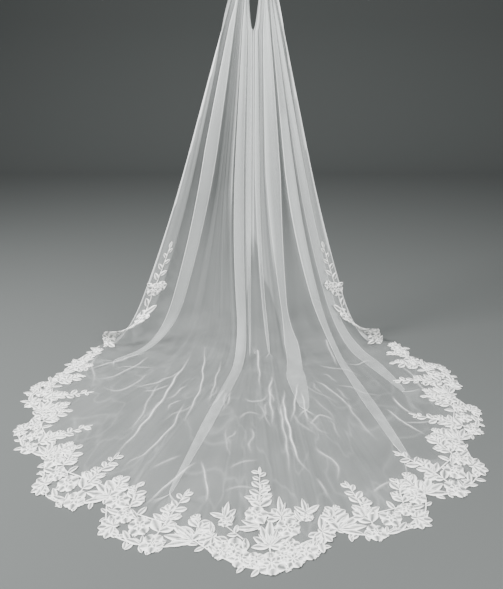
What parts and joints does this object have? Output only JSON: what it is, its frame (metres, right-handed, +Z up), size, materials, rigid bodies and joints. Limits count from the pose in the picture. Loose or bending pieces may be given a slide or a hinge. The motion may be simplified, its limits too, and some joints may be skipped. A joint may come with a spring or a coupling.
{
  "type": "bridal veil on a hair comb",
  "caption": "Long single-layer bridal veil of soft tulle, gathered on a hair comb, its train spread on the floor with a scalloped lace border",
  "frame": {"origin": "middle of the comb's spine, where the hair holds the veil", "axes": "+Z up; the right side of the hanging veil faces -Y and the train lies towards -Y on the floor; +X is across the veil"},
  "size_m": [1.9191, 1.5454, 1.7537],
  "materials": {
    "tulle": "fine soft net, sheer, matte with a faint sheen",
    "lace": "ivory embroidered floral lace with raised cord edges",
    "header_tape": "narrow satin tape",
    "comb_metal": "bright smooth metal"
  },
  "bodies": {
    "root": {"tulle": "tulle", "lace_border": "lace", "lace_trail_left": "lace", "lace_trail_right": "lace", "comb": "comb_metal", "header_left": "header_tape", "header_right": "header_tape"}
  },
  "joints": []
}
